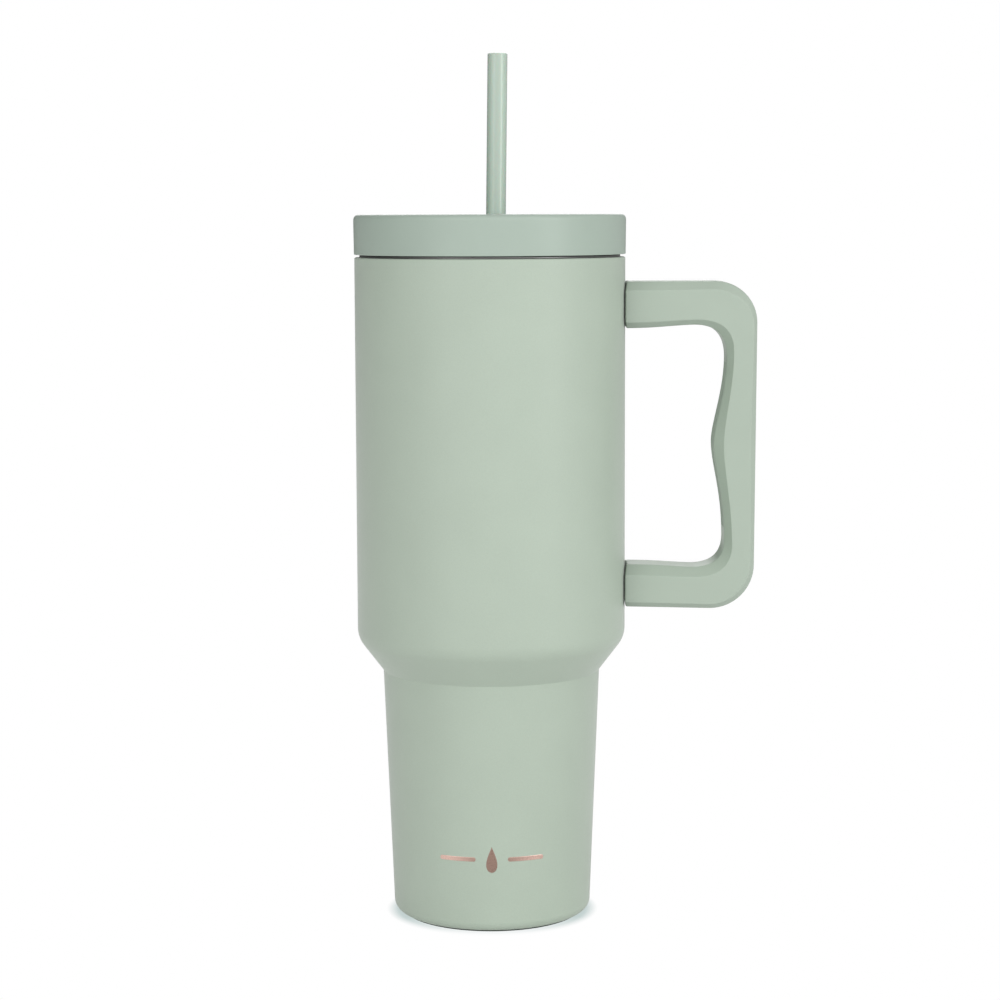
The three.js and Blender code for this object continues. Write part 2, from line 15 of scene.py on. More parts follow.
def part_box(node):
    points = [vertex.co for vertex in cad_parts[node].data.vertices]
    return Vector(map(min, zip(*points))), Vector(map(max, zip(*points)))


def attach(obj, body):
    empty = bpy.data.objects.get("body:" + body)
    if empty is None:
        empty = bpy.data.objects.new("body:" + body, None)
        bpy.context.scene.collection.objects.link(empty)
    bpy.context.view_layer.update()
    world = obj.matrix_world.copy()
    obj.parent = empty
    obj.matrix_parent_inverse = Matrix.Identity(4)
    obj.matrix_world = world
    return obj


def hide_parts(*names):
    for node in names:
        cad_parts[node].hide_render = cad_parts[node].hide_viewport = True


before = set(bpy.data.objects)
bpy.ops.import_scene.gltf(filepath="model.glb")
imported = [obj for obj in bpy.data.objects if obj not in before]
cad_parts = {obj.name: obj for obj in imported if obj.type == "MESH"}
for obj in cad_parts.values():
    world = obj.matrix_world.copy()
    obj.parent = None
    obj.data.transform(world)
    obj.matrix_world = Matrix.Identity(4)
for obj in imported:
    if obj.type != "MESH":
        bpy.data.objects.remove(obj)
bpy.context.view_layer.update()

MM = 0.001
SIDES = 256  # facets round every large turned piece
SMALL_SIDES = 96
ARC_STEP = math.radians(9)  # longest step along a rounded corner
LONGEST_EDGE = 8  # long straight runs of a section are divided to this
ROUND_STEPS = 4  # steps round a plate's edge or an arm's end
CREASE = 38  # degrees between faces that make an edge look sharp


def span(node):
    """Lowest and highest corner of a CAD node, in millimetres."""
    low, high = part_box(node)
    return low / MM, high / MM


# ---- outlines ----


def rounded(corners, closed=True):
    """Points of a polygon whose (x, y, radius) corners are turned into arcs. An open
    outline keeps its first and last corner as they are."""
    points = []
    for index, (x, y, radius) in enumerate(corners):
        here = Vector((x, y))
        is_end = not closed and index in (0, len(corners) - 1)
        if radius == 0 or is_end:
            points.append((x, y))
            continue
        before = (Vector(corners[index - 1][:2]) - here).normalized()
        after = (Vector(corners[(index + 1) % len(corners)][:2]) - here).normalized()
        half = before.angle(after) / 2
        centre = here + (before + after).normalized() * radius / math.sin(half)
        start = here + before * radius / math.tan(half) - centre
        turn = math.copysign(math.pi - 2 * half, -before.cross(after))
        count = max(2, math.ceil(abs(turn) / ARC_STEP))
        for step in range(count + 1):
            point = centre + Matrix.Rotation(turn * step / count, 2) @ start
            points.append((point.x, point.y))
    return points


def arc(centre, radius, start, end, steps=24):
    """Points along a circular arc, from one angle to another, in degrees."""
    points = []
    for step in range(steps + 1):
        angle = math.radians(start + (end - start) * step / steps)
        points.append((centre[0] + radius * math.cos(angle), centre[1] + radius * math.sin(angle)))
    return points


def bezier(start, first, second, end, steps):
    """Points along a cubic curve."""
    points = []
    for step in range(steps + 1):
        t = step / steps
        weights = ((1 - t) ** 3, 3 * t * (1 - t) ** 2, 3 * t ** 2 * (1 - t), t ** 3)
        points.append(tuple(
            sum(w * p[axis] for w, p in zip(weights, (start, first, second, end)))
            for axis in (0, 1)
        ))
    return points


def line(start, end, steps):
    """Evenly spaced points along a straight line."""
    return [
        tuple(a + (b - a) * step / steps for a, b in zip(start, end))
        for step in range(steps + 1)
    ]


def spaced(points, closed=True, longest=LONGEST_EDGE):
    """The same outline with its long straight runs divided."""
    result = []
    for point, after in zip(points, points[1:] + points[:1] if closed else points[1:]):
        pieces = max(1, math.ceil(math.dist(point, after) / longest))
        result += line(point, after, pieces)[:-1]
    return result if closed else result + [points[-1]]


def ease(share):
    """Goes from 0 to 1 with a soft start and end."""
    share = min(1, max(0, share))
    return share * share * (3 - 2 * share)


def circle(radius, steps=SMALL_SIDES):
    """Points round a circle about the origin."""
    return arc((0, 0), radius, 0, 360, steps)[:-1]


def arc_slot(radius, width, start, end):
    """Round-ended slot that curves about the origin, between two angles in degrees."""
    half = width / 2
    tail, tip = (
        (radius * math.cos(math.radians(angle)), radius * math.sin(math.radians(angle)))
        for angle in (start, end)
    )
    return (
        arc((0, 0), radius + half, start, end)[:-1]
        + arc(tip, half, end, end + 180)[:-1]
        + arc((0, 0), radius - half, end, start)[:-1]
        + arc(tail, half, start + 180, start + 360)[:-1]
    )


# ---- solids ----


def make_object(name, points, faces, crease=CREASE):
    """Closed smooth-shaded mesh object from points in millimetres."""
    mesh = bpy.data.meshes.new(name)
    mesh.from_pydata([Vector(point) * MM for point in points], [], faces)
    obj = bpy.data.objects.new(name, mesh)
    bpy.context.scene.collection.objects.link(obj)
    clean(obj, crease)
    return obj


def clean(obj, crease=CREASE):
    """Merges doubled points, turns the faces outwards and marks the sharp edges."""
    mesh = obj.data
    work = bmesh.new()
    work.from_mesh(mesh)
    bmesh.ops.remove_doubles(work, verts=work.verts, dist=2e-6)
    bmesh.ops.recalc_face_normals(work, faces=work.faces)
    work.to_mesh(mesh)
    work.free()
    mesh.shade_smooth()
    mesh.set_sharp_from_angle(angle=math.radians(crease))


def skin(rings):
    """Faces between neighbouring rings of point numbers. A ring may be a single point."""
    faces = []
    for low, high in zip(rings, rings[1:]):
        size = max(len(low), len(high))
        for side in range(size):
            after = (side + 1) % size
            corners = [low[side % len(low)], low[after % len(low)]]
            corners += [high[after % len(high)], high[side % len(high)]]
            faces.append(list(dict.fromkeys(corners)))
    return faces


def turned(name, profile, sides=SIDES, centre=(0, 0), shape=None):
    """Solid of revolution about an upright axis. The profile of (radius, height) points
    starts and ends on the axis or closes on itself. shape changes a point's radius."""
    on_axis = profile[0][0] == 0
    points = []
    rings = []
    for radius, height in spaced(profile, closed=not on_axis):
        count = sides if radius > 0 else 1
        rings.append(range(len(points), len(points) + count))
        for side in range(count):
            angle = 2 * math.pi * side / sides
            reach = shape(angle, radius, height) if shape else radius
            x = centre[0] + reach * math.cos(angle)
            y = centre[1] + reach * math.sin(angle)
            points.append((x, y, height))
    return make_object(name, points, skin(rings if on_axis else rings + rings[:1]))


def lathed(name, corners, sides=SIDES, centre=(0, 0)):
    """Solid turned from a section of (radius, height, rounding) corners."""
    on_axis = corners[0][0] == 0
    return turned(name, rounded(corners, closed=not on_axis), sides, centre)


def inset_outline(outline, distance):
    """Outline moved to its left, which is inwards for an anticlockwise one."""
    moved = []
    for index, point in enumerate(outline):
        before = Vector(point) - Vector(outline[index - 1])
        after = Vector(outline[(index + 1) % len(outline)]) - Vector(point)
        along = (before.normalized() + after.normalized()).normalized()
        moved.append((point[0] - along.y * distance, point[1] + along.x * distance))
    return moved


def quarter_round(radius):
    """(distance in, distance on) steps from a flat end round to a side."""
    steps = []
    for step in range(ROUND_STEPS + 1):
        angle = math.pi / 2 * step / ROUND_STEPS
        steps.append((radius * (1 - math.sin(angle)), radius * (1 - math.cos(angle))))
    return steps


def plate(name, outlines, low, high, edge):
    """Flat plate with rounded edges between two heights. The first outline is its rim,
    anticlockwise, and the others are holes, also anticlockwise."""
    levels = [(inset, low + rise) for inset, rise in quarter_round(edge)]
    levels += [(inset, low + high - height) for inset, height in reversed(levels)]
    points = []
    faces = []
    lows = []
    highs = []
    for outline in [outlines[0]] + [hole[::-1] for hole in outlines[1:]]:
        rings = []
        for inset, height in levels:
            rings.append(range(len(points), len(points) + len(outline)))
            points += [(x, y, height) for x, y in inset_outline(outline, inset)]
        faces += skin(rings)
        lows.append(rings[0])
        highs.append(rings[-1])
    for rings in (lows, highs):
        numbers = [number for ring in rings for number in ring]
        triangles = tessellate_polygon([[Vector(points[number]) for number in ring] for ring in rings])
        faces += [[numbers[corner] for corner in triangle] for triangle in triangles]
    return make_object(name, points, faces)


def block(name, low, high, corner, edge):
    """Box with rounded upright corners and rounded rims."""
    outline = rounded([
        (low[0], low[1], corner), (high[0], low[1], corner),
        (high[0], high[1], corner), (low[0], high[1], corner),
    ])
    return plate(name, [outline], low[2], high[2], edge)


def combine(obj, others, operation):
    """Joins others to obj, or cuts them from it, and removes them."""
    for other in others:
        modifier = obj.modifiers.new("combine", "BOOLEAN")
        modifier.operation = operation
        modifier.solver = "EXACT"
        modifier.object = other
        settled = obj.evaluated_get(bpy.context.evaluated_depsgraph_get())
        mesh = bpy.data.meshes.new_from_object(settled)
        obj.modifiers.clear()
        obj.data = mesh
        bpy.data.objects.remove(other)
    clean(obj)
    return obj


def cut(obj, *cutters):
    """Takes each cutter's space out of obj."""
    return combine(obj, cutters, "DIFFERENCE")


def join(obj, *others):
    """Makes one solid of obj and the others."""
    return combine(obj, others, "UNION")


def cylinder(radius, low, high, centre=(0, 0), sides=SMALL_SIDES):
    """Plain upright cylinder, for cutting."""
    return turned("cutter", [(0, low), (radius, low), (radius, high), (0, high)], sides, centre)


def slab(outline, low, high):
    """Plain upright prism, for cutting."""
    bottom = range(len(outline))
    top = range(len(outline), 2 * len(outline))
    points = [(x, y, height) for height in (low, high) for x, y in outline]
    return make_object("cutter", points, skin([bottom, top]) + [tuple(reversed(bottom)), tuple(top)])


def box_cutter(low, high):
    """Plain box, for cutting."""
    corners = [(low[0], low[1]), (high[0], low[1]), (high[0], high[1]), (low[0], high[1])]
    return slab(corners, low[2], high[2])


# ---- materials ----


def add_node(tree, kind, operation=None, **values):
    """New shader node. Values go to inputs by name, with _ in place of a space."""
    node = tree.nodes.new("ShaderNode" + kind)
    if operation:
        node.operation = operation
    for name, value in values.items():
        node.inputs[name.replace("_", " ")].default_value = value
    return node


class Finish:
    """A Principled material whose inputs are driven by procedural textures. Texture
    scales are in repeats per metre, on the object's own coordinates."""

    def __init__(self, name, color, roughness, **inputs):
        self.material = bpy.data.materials.new(name)
        self.material.use_nodes = True
        self.tree = self.material.node_tree
        self.tree.nodes.clear()
        output = self.node("OutputMaterial")
        self.surface = self.node("BsdfPrincipled", Roughness=roughness, **inputs)
        self.link(self.surface.outputs[0], output.inputs[0])
        self.coordinates = self.node("TexCoord").outputs["Object"]
        self.color = self.constant_color(color)
        self.height = None
        self.base_roughness = roughness

    def node(self, kind, operation=None, **values):
        return add_node(self.tree, kind, operation, **values)

    def link(self, source, target):
        self.tree.links.new(source, target)

    def constant_color(self, color):
        node = self.node("RGB")
        node.outputs[0].default_value = (*color, 1)
        return node.outputs[0]

    def noise(self, scale, detail=3, stretch=(1, 1, 1)):
        """Cloudy value about 0.5. A small stretch makes it longer along that axis."""
        mapping = self.node("Mapping", Scale=stretch)
        self.link(self.coordinates, mapping.inputs["Vector"])
        texture = self.node("TexNoise", Scale=scale, Detail=detail)
        self.link(mapping.outputs[0], texture.inputs["Vector"])
        return texture.outputs["Fac"]

    def remap(self, value, low, high, source=(0.25, 0.75)):
        """Takes the value's source range to the range from low to high."""
        node = self.node("MapRange", From_Min=source[0], From_Max=source[1], To_Min=low, To_Max=high)
        self.link(value, node.inputs["Value"])
        return node.outputs["Result"]

    def scale_color(self, value, low, high, source=(0.25, 0.75)):
        """Multiplies the colour by low to high, as the value goes over its source range."""
        node = self.node("VectorMath", "SCALE")
        self.link(self.color, node.inputs[0])
        self.link(self.remap(value, low, high, source), node.inputs["Scale"])
        self.color = node.outputs[0]

    def vary_color(self, value, amount):
        """Makes the colour lighter and darker by a share of itself."""
        self.scale_color(value, 1 - amount, 1 + amount)

    def tint(self, mask, color):
        """Mixes another colour in where mask is 1."""
        node = self.node("Mix")
        node.data_type = "RGBA"
        self.link(mask, node.inputs[0])
        self.link(self.color, node.inputs[6])
        node.inputs[7].default_value = (*color, 1)
        self.color = node.outputs[2]

    def paint_crevice_shade(self, amount, distance):
        """Painted shade: takes up to this share of the colour away where other surfaces stand close, as
        ambient occlusion.
        """
        openness = self.node("AmbientOcclusion", Distance=distance * MM)
        openness.samples = 8
        self.scale_color(openness.outputs["AO"], 1 - amount, 1, source=(0.35, 0.9))

    def vary_roughness(self, value, amount):
        """Makes the surface smoother and rougher by an amount."""
        low = self.base_roughness - amount
        high = self.base_roughness + amount
        self.link(self.remap(value, low, high), self.surface.inputs["Roughness"])

    def bump(self, value, depth):
        """Adds relief of the given depth in millimetres."""
        node = self.node("Bump", Distance=depth * MM)
        self.link(value, node.inputs["Height"])
        if self.height:
            self.link(self.height, node.inputs["Normal"])
        self.height = node.outputs[0]

    def done(self):
        """Joins the colour and the relief to the surface."""
        self.link(self.color, self.surface.inputs["Base Color"])
        if self.height:
            self.link(self.height, self.surface.inputs["Normal"])
        return self.material


def powder_coat():
    finish = Finish("powder_coat", (0.424, 0.500, 0.417), 0.4, Sheen_Weight=0.3, Sheen_Roughness=0.3)
    finish.vary_color(finish.noise(45, 2), 0.02)
    grain = finish.noise(2600, 2)
    finish.vary_color(grain, 0.03)
    finish.vary_roughness(finish.noise(900, 3), 0.05)
    finish.bump(finish.noise(700, 2), 0.02)
    finish.bump(grain, 0.02)
    return finish.done()


def moulded_plastic(name, color, roughness, grain_depth, shade=0):
    """Finely grained plastic, with painted shade of up to shade where another piece is near."""
    finish = Finish(name, color, roughness)
    finish.vary_color(finish.noise(60, 2), 0.015)
    if shade:
        # painted shade where another piece stands within 25 mm
        finish.paint_crevice_shade(shade, distance=25)
    grain = finish.noise(3200, 2)
    finish.vary_color(grain, 0.015)
    finish.vary_roughness(finish.noise(400, 3), 0.04)
    finish.bump(grain, grain_depth)
    return finish.done()


def soft_rubber(name, color):
    finish = Finish(name, color, 0.72)
    finish.vary_color(finish.noise(150, 3), 0.03)
    grain = finish.noise(1800, 4)
    finish.vary_roughness(grain, 0.08)
    finish.bump(grain, 0.03)
    return finish.done()


def silicone():
    finish = Finish("silicone", (0.62, 0.65, 0.61), 0.45, Subsurface_Weight=0.3, Subsurface_Scale=0.002)
    finish.vary_color(finish.noise(200, 2), 0.02)
    finish.vary_roughness(finish.noise(500, 3), 0.08)
    finish.bump(finish.noise(1500, 2), 0.01)
    return finish.done()


def straw_plastic():
    """Tinted plastic with painted light: lighter where its thin wall turns away from the eye and darker
    in the middle, standing in for light that passes through the wall.
    """
    finish = Finish("straw_plastic", (0.435, 0.537, 0.453), 0.22, Subsurface_Weight=0.15,
                    Subsurface_Scale=0.002, Coat_Weight=0.9, Coat_Roughness=0.08)
    # painted light: the tube's sides are made lighter and its middle darker, as seen from the eye
    view = finish.node("LayerWeight")
    painted_edge_light = finish.remap(view.outputs["Facing"], 0.25, 0.75, source=(0, 0.12))
    finish.vary_color(painted_edge_light, 0.08)
    finish.vary_color(finish.noise(30, 2, (1, 1, 0.3)), 0.02)
    finish.vary_roughness(finish.noise(120, 3, (1, 1, 0.1)), 0.05)
    finish.bump(finish.noise(250, 2, (1, 1, 0.05)), 0.01)
    return finish.done()


def brushed_steel():
    finish = Finish("brushed_steel", (0.50, 0.50, 0.49), 0.34, Metallic=1, Anisotropic=0.4)
    lines = finish.noise(100, 5, (0.6, 0.6, 45))
    finish.vary_color(lines, 0.06)
    # painted shade: the steel is darker where other surfaces stand close, as on the lip under the lid
    finish.paint_crevice_shade(0.65, distance=4)
    finish.vary_roughness(lines, 0.08)
    finish.bump(lines, 0.01)
    return finish.done()


def copper_foil():
    finish = Finish("copper", (0.80, 0.43, 0.28), 0.3, Metallic=1)
    creases = finish.noise(120, 4)
    finish.vary_color(creases, 0.1)
    finish.vary_roughness(creases, 0.1)
    finish.bump(creases, 0.15)
    return finish.done()


def rose_metal():
    """Metallic film with a painted reflection that makes it paler away from the mark's middle."""
    finish = Finish("rose_metal", (0.42, 0.28, 0.23), 0.3, Metallic=1)
    place = finish.node("SeparateXYZ")
    finish.link(finish.coordinates, place.inputs[0])
    to_side = finish.node("Math", "ABSOLUTE")
    finish.link(place.outputs["X"], to_side.inputs[0])
    # painted reflection: the film is tinted paler away from the mark's middle
    finish.tint(finish.remap(to_side.outputs[0], 0, 1, source=(0.003, 0.015)), (0.85, 0.58, 0.50))
    grain = finish.noise(2500, 2)
    finish.vary_color(grain, 0.05)
    finish.vary_roughness(grain, 0.06)
    finish.bump(grain, 0.01)
    return finish.done()


def sealing_resin():
    finish = Finish("sealing_resin", (0.30, 0.27, 0.22), 0.5)
    spots = finish.noise(900, 4)
    finish.vary_color(spots, 0.15)
    finish.bump(spots, 0.05)
    return finish.done()


# Each finish is a material and the record's slot that it belongs to.
POWDER = powder_coat(), "powder_coat"
LID_PLASTIC = moulded_plastic("lid_plastic", (0.371, 0.450, 0.388), 0.36, 0.012), "lid_plastic"
# The handle's plastic carries painted shade where its arms come close to the body.
HANDLE_PLASTIC = (
    moulded_plastic("handle_plastic", (0.395, 0.467, 0.392), 0.42, 0.02, shade=0.35), "handle_plastic",
)
GRIP_RUBBER = soft_rubber("grip_rubber", (0.36, 0.43, 0.36)), "grip_rubber"
BASE_RUBBER = soft_rubber("base_rubber", (0.05, 0.065, 0.055)), "base_rubber"
SILICONE = silicone(), "seal_silicone"
STRAW_PLASTIC = straw_plastic(), "straw_plastic"
STEEL = brushed_steel(), "bare_steel"
COPPER = copper_foil(), "copper"
ROSE = rose_metal(), "bare_steel"
RESIN = sealing_resin(), "sealing_resin"


def dress(obj, finish, body, node=None):
    """Gives a piece its finish, its body and the CAD node that it stands for."""
    material, slot = finish
    obj.data.materials.clear()
    obj.data.materials.append(material)
    shading = obj.modifiers.new("weighted_normals", "WEIGHTED_NORMAL")
    shading.keep_sharp = True
    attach(obj, body)
    if node:
        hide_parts(node)


# ---- vacuum-walled body ----

wall_low, wall_high = span("outer_wall")
BODY_RADIUS = wall_high.x
BODY_TOP = wall_high.z
FOOT_LIFT = wall_low.z
WALL = 0.5
SHOULDER_LOW = 90.7
SHOULDER_RADIUS = 39.7
SHOULDER_SLOPE = 0.762
SHOULDER_FILLET = 9.5
FOOT_RADIUS = 36.2
FOOT_CORNER = 3.7
FLANGE_RADIUS = 30.5  # the foot is turned in to here
MOUTH_RADIUS = 46.5  # and the top of the wall to here

liner_low, liner_high = span("inner_liner")
LIP_RADIUS = liner_high.x
LIP_TOP = liner_high.z
LINER_RADIUS = 44.3
LINER_WAIST = 89
LINER_WAIST_RADIUS = 35.2
LINER_FOOT_RADIUS = 32.6
LINER_WALL = 0.45

THREAD_LEAD = 6
THREAD_TURNS = 1.125
THREAD_REACH = 1  # how far a ridge stands out of its wall
THREAD_START = 230  # height of the liner's ridge at its lower end
THREAD_HALF_WIDTH = 1.05
THREAD_FLANK = 0.45
THREAD_FADE = 0.06  # share of a turn over which a ridge fades out at each end
THREAD_STEP = 0.3
LINER_THREAD_END = 226  # lower end of the finely divided part of the liner's neck


def outer_wall():
    rise = (BODY_RADIUS - SHOULDER_RADIUS) / SHOULDER_SLOPE
    foot_low = FOOT_LIFT - 0.15
    foot = FOOT_RADIUS - 0.1  # the wall's taper carried on down to the ring
    corners = [
        (FLANGE_RADIUS, foot_low, 0.25),
        (foot, foot_low, FOOT_CORNER),
        (SHOULDER_RADIUS, SHOULDER_LOW, 0.9),
        (BODY_RADIUS, SHOULDER_LOW + rise, SHOULDER_FILLET),
        (BODY_RADIUS, BODY_TOP, 0.6),
        (MOUTH_RADIUS, BODY_TOP, 0.2),
        (MOUTH_RADIUS, BODY_TOP - WALL, 0.2),
        (BODY_RADIUS - WALL, BODY_TOP - WALL, 0.5),
        (BODY_RADIUS - WALL, SHOULDER_LOW + rise + 0.2, SHOULDER_FILLET - WALL),
        (SHOULDER_RADIUS - WALL, SHOULDER_LOW + 0.2, 1.4),
        (foot - WALL, foot_low + WALL, FOOT_CORNER - WALL),
        (FLANGE_RADIUS, foot_low + WALL, 0.2),
    ]
    return lathed("outer_wall_skin", corners)


def thread_height(angle, height, start):
    """How far a helical ridge stands out of its wall at this place."""
    best = 0
    for lap in (-1, 0, 1):
        turns = angle / (2 * math.pi) + lap
        offset = turns + (0 if start == THREAD_START else THREAD_TURNS - 1)
        if not 0 <= offset <= THREAD_TURNS:
            continue
        away = abs(height - start - THREAD_LEAD * turns)
        fade = min(1, offset / THREAD_FADE, (THREAD_TURNS - offset) / THREAD_FADE)
        best = max(best, fade * ease((THREAD_HALF_WIDTH - away) / THREAD_FLANK))
    return best * THREAD_REACH


def threaded_run(radius, low, high):
    """Closely spaced section points up a threaded wall."""
    return line((radius, low), (radius, high), math.ceil(abs(high - low) / THREAD_STEP))


def inner_liner():
    rise = (LINER_RADIUS - LINER_WAIST_RADIUS) / SHOULDER_SLOPE
    floor = liner_low.z + LINER_WALL
    lip_low = BODY_TOP + 0.04
    outside = rounded([
        (0, floor - LINER_WALL, 0),
        (LINER_FOOT_RADIUS + LINER_WALL, floor - LINER_WALL, 4.4),
        (LINER_WAIST_RADIUS + LINER_WALL, LINER_WAIST, 1),
        (LINER_RADIUS + LINER_WALL, LINER_WAIST + rise, 6),
        (LINER_RADIUS + LINER_WALL, lip_low, 0.4),
        (LIP_RADIUS, lip_low, 0.15),
        (LIP_RADIUS, LIP_TOP, 0.38),
        (LINER_RADIUS, LIP_TOP, 0.8),
        (LINER_RADIUS, LIP_TOP - 2, 0),
    ], closed=False)
    inside = rounded([
        (LINER_RADIUS, LINER_THREAD_END, 0),
        (LINER_RADIUS, LINER_WAIST + rise + 0.2, 6),
        (LINER_WAIST_RADIUS, LINER_WAIST + 0.2, 1.5),
        (LINER_FOOT_RADIUS, floor, 4),
        (0, floor, 0),
    ], closed=False)
    threads = threaded_run(LINER_RADIUS, LIP_TOP - 2, LINER_THREAD_END)

    def shape(angle, radius, height):
        if radius != LINER_RADIUS or not LINER_THREAD_END + 1 < height < LIP_TOP - 3:
            return radius
        return radius - thread_height(angle, height, THREAD_START)

    return turned("liner_steel", outside + threads[1:-1] + inside, shape=shape)


def base_plate():
    """Plate with a raised dimple and a hole in its middle."""
    low = span("base_plate")[0].z
    rim = 32.8
    hole = 2.3
    dimple = low + 1.3
    corners = [
        (hole, dimple, 0), (5.2, dimple, 0.8), (6.2, low, 0.8), (rim, low, 0.2),
        (rim, low + WALL, 0.2), (6.6, low + WALL, 1), (5.6, dimple + WALL, 1), (hole, dimple + WALL, 0),
    ]
    return lathed("base_plate_steel", corners, 128)


def base_pad():
    """Pad with a ring groove in its underside and a rim under the foot's turned edge."""
    high = span("base_pad")[1]
    groove = 24
    inner = FLANGE_RADIUS - 0.3
    shelf = FOOT_LIFT - 0.3
    corners = [
        (0, 0, 0), (groove - 1.2, 0, 0.3), (groove - 0.8, 0.5, 0.2), (groove + 0.8, 0.5, 0.2),
        (groove + 1.2, 0, 0.3), (high.x, 0, 0.12), (high.x, shelf, 0.15), (inner, shelf, 0.1),
        (inner, high.z, 0.2), (0, high.z, 0),
    ]
    return lathed("base_pad_rubber", corners)


def vacuum_plug():
    low, high = span("vacuum_plug")
    shelf = high.z - 1
    stem = 2
    corners = [
        (0, low.z, 0), (high.x, low.z, 0.5), (high.x, shelf, 0.3),
        (stem, shelf, 0.2), (stem, high.z, 0.3), (0, high.z, 0),
    ]
    return lathed("vacuum_seal", corners, SMALL_SIDES)


def getter_capsule():
    low, high = span("getter_capsule")
    radius = (high.x - low.x) / 2
    dish = high.z - 0.6
    corners = [
        (0, low.z, 0), (radius, low.z, 0.4), (radius, high.z, 0.5), (radius - 1, high.z, 0.3),
        (radius - 1.4, dish, 0.3), (0, dish, 0),
    ]
    return lathed("getter", corners, SMALL_SIDES, ((low.x + high.x) / 2, 0))


def foil_sleeve():
    """Thin sleeve with shallow slanting creases."""
    low, high = span("copper_foil")
    inner = high.x - 0.15
    crease_depth = 0.04

    def creased(angle, radius, height):
        wave = math.sin(9 * angle + height * 0.21) + math.sin(23 * angle - height * 0.13)
        return radius + crease_depth * wave

    profile = [(inner, low.z), (high.x, low.z), (high.x, high.z), (inner, high.z)]
    return turned("foil_sleeve", profile, shape=creased)


dress(outer_wall(), POWDER, "vessel", "outer_wall")
dress(inner_liner(), STEEL, "vessel", "inner_liner")
dress(base_plate(), STEEL, "vessel", "base_plate")
dress(base_pad(), BASE_RUBBER, "vessel", "base_pad")
dress(vacuum_plug(), RESIN, "vessel", "vacuum_plug")
dress(getter_capsule(), STEEL, "vessel", "getter_capsule")
dress(foil_sleeve(), COPPER, "vessel", "copper_foil")

# ---- generic mark on the foot ----

MARK_HEIGHT = 27.5
MARK_STAND = 0.07  # how far the metallic film stands out of the coating
MARK_SINK = -0.15  # and its back lies inside it


def film(name, outlines):
    """Thin closed patches that follow the tapered foot at the front. An outline gives
    distance to the right and height above the mark's centre."""
    taper_low = FOOT_LIFT + FOOT_CORNER
    slope = (SHOULDER_RADIUS - FOOT_RADIUS) / (SHOULDER_LOW - FOOT_LIFT - FOOT_CORNER)
    shares = (0.01, 0.3, 0.6, 0.8)
    levels = [(MARK_SINK, share) for share in shares + (1,)]
    levels += [(MARK_STAND * 0.6, 1)]
    levels += [(MARK_STAND, share) for share in (0.97,) + shares[::-1]]
    points = []
    faces = []

    def on_foot(across, up, stand):
        height = MARK_HEIGHT + up
        radius = FOOT_RADIUS + slope * (height - taper_low) + stand
        angle = across / radius - math.pi / 2
        return (radius * math.cos(angle), radius * math.sin(angle), height)

    for outline in outlines:
        size = len(outline)
        middle_x = sum(x for x, _ in outline) / size
        middle_y = sum(y for _, y in outline) / size
        rings = []
        for stand, share in levels:
            rings.append(range(len(points), len(points) + size))
            for x, y in outline:
                across = middle_x + (x - middle_x) * share
                up = middle_y + (y - middle_y) * share
                points.append(on_foot(across, up, stand))
        faces += skin(rings) + [tuple(rings[0]), tuple(rings[-1])]
    return make_object(name, points, faces, crease=60)


def generic_mark():
    """Droplet between two short bars, which are divided finely to bend round the foot."""
    width = 5.6
    height = 9.6
    steps = 72
    droplet = []
    for step in range(steps):
        t = 2 * math.pi * step / steps
        narrowing = abs(math.sin(t / 2)) ** 1.4
        droplet.append((-width / 2 * math.sin(t) * narrowing, height / 2 * math.cos(t)))
    bar_ends = (5.8, 19.3)
    half = 0.8
    corner = 0.7
    bars = []
    for side in (-1, 1):
        start, end = sorted(side * place for place in bar_ends)
        bar = [(start, -half, corner), (end, -half, corner), (end, half, corner), (start, half, corner)]
        bars.append(spaced(rounded(bar), longest=half))
    return film("generic_mark", [droplet] + bars)


dress(generic_mark(), ROSE, "vessel")

# ---- handle ----

handle_low, handle_high = span("handle_body")
HANDLE_REACH = handle_high.x
UPPER_ARM_TOP = handle_high.z
LOWER_ARM_LOW = handle_low.z
HALF_DEPTH = handle_high.y
UPPER_ARM_LOW = 215.7
LOWER_ARM_TOP = 129.7
LOWER_ARM_RISE = 0.7  # the lower arm's underside rises by this much towards the body
LOWER_ARM_SEAT = LOWER_ARM_LOW + 0.6 * LOWER_ARM_RISE  # its underside at the screw
ARM_START = BODY_RADIUS + 0.5  # radius of the hollow in the arm ends
CORNER_TOP = 15
CORNER_LOW = 16
DRAFT = 0.6
GRIP_INNER_TOP = 85.6
GRIP_INNER_LOW = 85
GRIP_BULGE = 80.95
BULGE_HEIGHT = 173.8
ABOVE_BULGE = (192, 180.4)  # heights of the curves' control points
BELOW_BULGE = (165.1, 155.9)
GRIP_TOP = 204.8
GRIP_LOW = 139
FLARE = (60, 66)  # where the arms' inner sides begin to open, and open most steeply
UPPER_FLARE = 1.2
LOWER_FLARE = 1
UPPER_BEND_X = 73.8  # where the arms' inner sides turn into the bends
LOWER_BEND_X = 73.4
CORE_OUTER = 92.8
CORE_TOP = 203
CORE_LOW = 143
CORE_HALF_WIDTH = 5.3
ARM_END_ROUND = 0.7  # rounding where an arm ends at the body
FOLLOW_REACH = 9  # length of arm over which its end takes the body's roundness
screw_low, screw_high = span("upper_bracket_screw")
SCREW_X = (screw_low.x + screw_high.x) / 2
ARM_STEPS = 18  # rings along an arm, round a bend and along the grip
BEND_STEPS = 16
GRIP_STEPS = 44
OUTER_BANDS = (3.2, 2, 1.9)  # sloped bands on the outer edges: upper arm, grip, lower arm
INNER_BANDS = (2.1, 3.5, 3.6)
BAND_ROUND = 0.5  # rounding between a band and the front or back face
SIDE_ROUND = 1.5  # and between a band and the side


